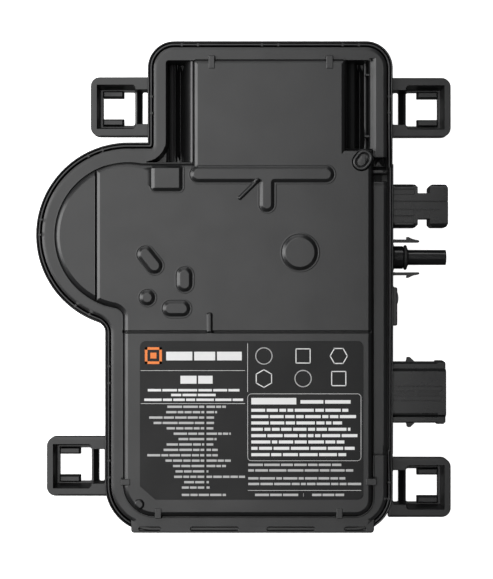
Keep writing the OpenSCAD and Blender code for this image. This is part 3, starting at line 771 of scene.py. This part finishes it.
for ob in [rear, foot, hood, *ears]:
    ob.data.materials.append(CASE)
    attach(ob, "case")
    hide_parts("rear_housing")
cover.data.materials.append(CASE)
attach(cover, "case")
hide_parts("front_cover")

# ------------------------------------------------------------------ label print: plain bars and outlines, no lettering

LZ = 28.8


def boxes(name, rects, mat, h=0.03):
    co, fa = [], []
    for r in rects:
        pts = r if len(r) == 4 and isinstance(r[0], tuple) else [(r[0], r[1]), (r[2], r[1]), (r[2], r[3]), (r[0], r[3])]
        n = len(co)
        co += [(x * MM, y * MM, (LZ - 0.02) * MM) for x, y in pts] + [(x * MM, y * MM, (LZ + h) * MM) for x, y in pts]
        fa += [(n + 3, n + 2, n + 1, n), (n + 4, n + 5, n + 6, n + 7)]
        fa += [(n + k, n + (k + 1) % 4, n + 4 + (k + 1) % 4, n + 4 + k) for k in range(4)]
    me = bpy.data.meshes.new(name)
    me.from_pydata(co, [], fa)
    me.materials.append(mat)
    ob = bpy.data.objects.new(name, me)
    bpy.context.scene.collection.objects.link(ob)
    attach(ob, "case")
    return ob


def loop(pts, w, closed=True):
    """Strokes of width w along a point loop, as quads."""
    out = []
    n = len(pts)
    for k in range(n if closed else n - 1):
        (ax, ay), (bx, by) = pts[k], pts[(k + 1) % n]
        ln = math.hypot(bx - ax, by - ay)
        ux, uy = (bx - ax) / ln * w / 2, (by - ay) / ln * w / 2
        ax, ay, bx, by = ax - ux, ay - uy, bx + ux, by + uy
        out.append([(ax + uy, ay - ux), (bx + uy, by - ux), (bx - uy, by + ux), (ax - uy, ay + ux)])
    return out


def ring_pts(cx, cy, r, n=24, a0=0.0):
    return [(cx + r * math.cos(a0 + 2 * math.pi * k / n), cy + r * math.sin(a0 + 2 * math.pi * k / n)) for k in range(n)]


rnd = random.Random(11)


def words(x0, x1, y, h, gap, lo, hi):
    out, x = [], x0
    while x < x1 - 0.5:
        w = min(rnd.uniform(lo, hi), x1 - x)
        if x1 - (x + w) < lo * 0.6:
            w = x1 - x
        out.append((x, y - h / 2, x + w, y + h / 2))
        x += w + gap
    return out


bold, fine = [], []
bold += [(-44.5, -36.05, 0.2, -35.9), (-44.5, -50.2, 0.2, -50.05), (1.24, -45.1, 1.4, -24.3), (1.4, -87.45, 50.0, -87.3)]
bold += [(-33.6, -31.6, -22.4, -27.9), (-21.6, -31.6, -12.6, -27.9), (-11.8, -31.6, -1.2, -27.9)]
bold += [(-27.5, -41.6, -20.6, -38.2), (-19.9, -41.6, -13.7, -38.2)]
for y, a, b in [(-44.4, -41.5, -2.2), (-46.45, -31.5, -12.4), (-48.5, -43.0, -0.6)]:
    bold += words(a, b, y, 1.05, 0.55, 3.4, 8.5)
SPEC = [(15.8, 8.3), (16.3, 4.5), (23.6, 3.2), (21.7, 3.2), (16.1, 2.9), (13.1, 10.4), (11.0, 4.3), (16.1, 2.9), (17.4, 4.8),
        (24.4, 4.8), (16.6, 10.4), (13.4, 8.3), (12.3, 0.8), (12.9, 16.5), (8.6, 1.0), (9.6, 1.3)]
for k, (a, b) in enumerate(SPEC):
    y = -51.5 - 2.31 * k
    fine += words(-17.3 - a, -17.3, y, 0.95, 0.5, 2.2, 6.4)
    fine += words(-16.3, -16.3 + b, y, 0.95, 0.45, 1.6, 5.0)
fine += words(-26.9, -8.0, -89.3, 0.95, 0.5, 2.6, 5.0)
# warning box with a rounded frame
frame_pts = []
for cx, cy, a0 in [(48.4, -47.5, 0), (2.9, -47.5, 90), (2.9, -73.1, 180), (48.4, -73.1, 270)]:
    frame_pts += [(cx + 1.55 * math.cos(math.radians(a0 + k * 18)), cy + 1.55 * math.sin(math.radians(a0 + k * 18))) for k in range(6)]
bold += loop(frame_pts, 0.16)
bold += [(2.9, -50.5, 22.2, -47.7)]
bold += words(24.0, 45.5, -49.4, 1.5, 0.7, 6.0, 10.0)
for k, b in enumerate([44.5, 47.8, 41.8, 45.4, 48.4, 42.8, 47.2, 43.6]):
    bold += words(2.9, b, -53.0 - 2.72 * k, 1.3, 0.65, 2.2, 8.4)
for y, b in [(-76.4, 41.5), (-78.8, 46.6), (-82.2, 43.2), (-84.6, 50.0)]:
    fine += words(1.6, b, y, 1.0, 0.55, 2.0, 7.4)
fine += words(4.5, 23.0, -89.3, 1.0, 0.5, 3.0, 7.5) + [(25.2, -90.0, 25.35, -88.6)] + words(29.0, 42.7, -89.3, 1.0, 0.5, 3.0, 6.0)
# six plain outline shapes, with no meaning of their own
for cx, cy, n, r, a in [(8.3, -29.7, 28, 3.5, 0.0), (25.1, -29.7, 4, 4.3, 0.7854), (40.4, -29.7, 6, 3.7, 0.0),
                        (8.3, -39.4, 6, 3.8, 0.5236), (25.1, -39.4, 28, 3.5, 0.0), (40.4, -39.4, 4, 4.3, 0.7854)]:
    bold += loop(ring_pts(cx, cy, r, n, a), 0.4)
boxes("label_print_bold", bold, PRINT)
boxes("label_print_fine", fine, PRINT2)
boxes("label_mark", loop([(-42.2, -32.6), (-36.0, -32.6), (-36.0, -26.5), (-42.2, -26.5)], 1.1) + [(-40.4, -30.8, -37.8, -28.3)], MARK)

# ------------------------------------------------------------------ ports: the frame's own shapes, cut and with broken edges


def carve(node, name, prisms):
    """A copy of a frame node with prisms cut out of it: each is (axis, outline points, start, end) in mm."""
    src = NODES[node]
    ob = bpy.data.objects.new(name, src.data.copy())
    ob.matrix_world = src.matrix_world.copy()
    bpy.context.scene.collection.objects.link(ob)
    co, fa = [], []
    for axis, pts, a, b in prisms:
        area2 = sum(pts[k][0] * pts[(k + 1) % len(pts)][1] - pts[(k + 1) % len(pts)][0] * pts[k][1] for k in range(len(pts)))
        pts = pts if area2 > 0 else pts[::-1]
        n, m = len(co), len(pts)
        for t in (a, b):
            co += [((t, u, v) if axis == "x" else (u, v, t)) for u, v in pts]
        fa += [tuple(n + m - 1 - k for k in range(m)), tuple(n + m + k for k in range(m))]
        fa += [(n + k, n + (k + 1) % m, n + m + (k + 1) % m, n + m + k) for k in range(m)]
    me = bpy.data.meshes.new("cut")
    me.from_pydata([tuple(c * MM for c in q) for q in co], [], fa)
    tool = bpy.data.objects.new("cut", me)
    bpy.context.scene.collection.objects.link(tool)
    w = ob.modifiers.new("weld", "WELD")
    w.merge_threshold = 0.000002
    mod = ob.modifiers.new("cut", "BOOLEAN")
    mod.operation, mod.solver, mod.object, mod.use_self = "DIFFERENCE", "EXACT", tool, True
    bpy.context.view_layer.update()
    out = bpy.data.meshes.new_from_object(ob.evaluated_get(bpy.context.evaluated_depsgraph_get()))
    ob.modifiers.clear()
    ob.data = out
    bpy.data.objects.remove(tool)
    out.materials.clear()
    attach(ob, "case")
    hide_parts(node)
    return ob


def rect(u0, v0, u1, v1):
    return [(u0, v0), (u1, v0), (u1, v1), (u0, v1)]


DCY, DCZ, ACY, ACZ, PX = 35.25, 10.5, -46.2, 10.0, 64.0
cuts = []
for sg in (-1, 1):
    def yy(v, sg=sg):
        return DCY + sg * v
    # full-height notches with splayed corners, rounded outer corners and broken top edges
    cuts.append(("z", [(PX + 11.4, yy(5.5)), (PX + 16.7, yy(5.5)), (PX + 16.7, yy(8.2)), (PX + 17.9, yy(9.5)), (PX + 17.9, yy(12)),
                       (PX + 10.2, yy(12)), (PX + 10.2, yy(9.5)), (PX + 11.4, yy(8.2))], -2, 22))
    arc = [(PX + 22.9 + 1.4 * math.sin(math.radians(t)), yy(8.1 + 1.4 * math.cos(math.radians(t)))) for t in range(0, 91, 15)]
    cuts.append(("z", [(PX + 22.5, yy(9.5))] + arc[0:] + [(PX + 26, yy(8.1)), (PX + 26, yy(12)), (PX + 22.5, yy(12))], -2, 22))
    for up in (-1, 1):
        cuts.append(("x", [(yy(8.2), DCZ + up * 7.5), (yy(9.5), DCZ + up * 6.1), (yy(12), DCZ + up * 6.1), (yy(12), DCZ + up * 12), (yy(8.2), DCZ + up * 12)], PX - 0.5, PX + 30))
cuts += [("z", rect(PX + 0.3, 40.3, PX + 10.0, 42.4), 17.6, 22), ("z", rect(PX + 0.3, 28.1, PX + 10.0, 30.8), 17.1, 22),
         ("z", rect(PX + 0.3, 42.25, PX + 10.0, 42.65), 16.4, 22), ("z", rect(PX + 0.3, 40.05, PX + 10.0, 40.35), 16.6, 22),
         ("z", rect(PX + 9.8, 40.05, PX + 10.1, 42.65), 16.4, 22), ("z", rect(PX + 9.8, 28.0, PX + 10.1, 31.1), 16.4, 22),
         ("z", rect(PX + 0.3, 30.3, PX + 10.1, 31.1), 15.9, 22), ("z", rect(PX + 0.3, 27.95, PX + 10.1, 28.2), 16.4, 22),
         ("z", rect(PX + 0.3, 36.85, PX + 24.6, 37.4), 16.6, 22), ("z", rect(PX + 0.3, 33.35, PX + 21.0, 33.6), 17.2, 22)]
dc_shell = carve("dc_socket_shell", "dc_shell_shaped", cuts)
cuts = [("z", rect(PX - 2, -70, PX + 26, -20), 19.55, 24)]
for sg in (-1, 1):
    cuts.append(("x", [(ACY + sg * 9.3, 19.7), (ACY + sg * 10.6, 16.7), (ACY + sg * 12.5, 16.8), (ACY + sg * 17, 16.8), (ACY + sg * 17, 25), (ACY + sg * 9.3, 25)], PX - 0.5, PX + 26))


def line_cut(x0, y0, x1, y1, w=0.55, z=18.75):
    return ("z", rect(x0 - w / 2, y0 - w / 2, x1 + w / 2, y1 + w / 2), z, 22)


cuts += [line_cut(PX + 0.3, -43.2, PX + 21.6, -43.2), line_cut(PX + 21.6, -44.9, PX + 21.6, -43.3),
         line_cut(PX + 0.3, -45.2, PX + 9.8, -45.2), line_cut(PX + 0.3, -47.3, PX + 9.8, -47.3), line_cut(PX + 9.8, -47.3, PX + 9.8, -45.2),
         line_cut(PX + 11.4, -45.2, PX + 21.1, -45.2), line_cut(PX + 11.4, -47.3, PX + 21.1, -47.3), line_cut(PX + 11.4, -47.3, PX + 11.4, -45.2),
         line_cut(PX + 0.3, -49.4, PX + 21.6, -49.4), line_cut(PX + 21.6, -49.3, PX + 21.6, -47.6)]
ac_shroud = carve("ac_port_shroud", "ac_shroud_shaped", cuts)
for ob in (dc_shell, ac_shroud):
    ob.data.materials.append(PORT)


def soften(node, width, segs=2, angle=35):
    ob = NODES[node] if isinstance(node, str) else node
    w = ob.modifiers.new("weld", "WELD")
    w.merge_threshold = 0.000002
    b = ob.modifiers.new("edges", "BEVEL")
    b.width = width * MM
    b.segments = segs
    b.limit_method = "ANGLE"
    b.angle_limit = math.radians(angle)
    b.use_clamp_overlap = True
    b.harden_normals = False
    for poly in ob.data.polygons:
        poly.use_smooth = True
    ob.modifiers.new("shade", "WEIGHTED_NORMAL").keep_sharp = True


def crease(ob, angle=28):
    """Smooth shading that breaks at every edge sharper than the angle."""
    bm = bmesh.new()
    bm.from_mesh(ob.data)
    bmesh.ops.dissolve_limit(bm, angle_limit=0.002, verts=bm.verts, edges=bm.edges)
    bmesh.ops.triangulate(bm, faces=bm.faces)
    for e in bm.edges:
        e.smooth = len(e.link_faces) == 2 and e.calc_face_angle(0) < math.radians(angle)
    for f in bm.faces:
        f.smooth = True
    bm.to_mesh(ob.data)
    bm.free()
    ob.modifiers.new("shade", "WEIGHTED_NORMAL").keep_sharp = True


for ob in (dc_shell, ac_shroud):
    crease(ob)
for nm, wd in [("dc_probe_body", 0.25), ("dc_latch_upper", 0.2),
               ("dc_latch_lower", 0.2), ("ac_contact_insert", 0.25), ("circuit_board", 0.15), ("rating_label", 0.04)]:
    soften(nm, wd)

# ------------------------------------------------------------------ floor, light, camera

me = bpy.data.meshes.new("floor")
s = 3.0
me.from_pydata([(-s, -s, -0.0006), (s, -s, -0.0006), (s, s, -0.0006), (-s, s, -0.0006)], [], [(0, 1, 2, 3)])
floor = bpy.data.objects.new("floor", me)
bpy.context.scene.collection.objects.link(floor)
m, nt, sh = tree("floor_paper")
sh.inputs["Base Color"].default_value = (0.9, 0.9, 0.9, 1)
sh.inputs["Roughness"].default_value = 0.9
sh.inputs["Emission Color"].default_value = (1, 1, 1, 1)
sh.inputs["Emission Strength"].default_value = 1.0
me.materials.append(m)
floor.visible_glossy = False
floor.visible_diffuse = False


def area(name, loc, aim, sx, sy, power, color=(1, 1, 1)):
    li = bpy.data.lights.new(name, "AREA")
    li.shape = "RECTANGLE"
    li.size, li.size_y = sx, sy
    li.energy = power
    li.color = color
    ob = bpy.data.objects.new(name, li)
    ob.location = loc
    ob.rotation_euler = (Vector(aim) - Vector(loc)).to_track_quat("-Z", "Y").to_euler()
    bpy.context.scene.collection.objects.link(ob)
    return ob


area("softbox", (-0.33, 0.36, 1.05), (-0.33, 0.36, 0), 0.92, 1.48, 10.2)
area("top_panel", (-0.2, 1.05, 0.55), (0, 0.05, 0.03), 1.0, 0.5, 3.4)
area("left_panel", (-0.85, 0.10, 0.46), (0, 0.05, 0.10), 0.62, 0.9, 10.5)
area("lower_right", (0.62, -0.55, 0.45), (0, 0, 0.02), 0.25, 0.25, 0.12)

world = bpy.data.worlds.new("studio")
bpy.context.scene.world = world
world.use_nodes = True
world.node_tree.nodes["Background"].inputs[0].default_value = (1, 1, 1, 1)
world.node_tree.nodes["Background"].inputs[1].default_value = 0.05

cam = bpy.data.cameras.new("camera")
cam.sensor_fit = "HORIZONTAL"
cam.sensor_width = 36
cam.lens = 126.73
cam.clip_start = 0.05
co = bpy.data.objects.new("camera", cam)
co.location = (0.84 * MM, -1.2 * MM, 773.2 * MM)
co.rotation_euler = (0, 0, 0)
bpy.context.scene.collection.objects.link(co)
bpy.context.scene.camera = co
bpy.context.scene.view_settings.view_transform = "Standard"

bpy.context.view_layer.update()
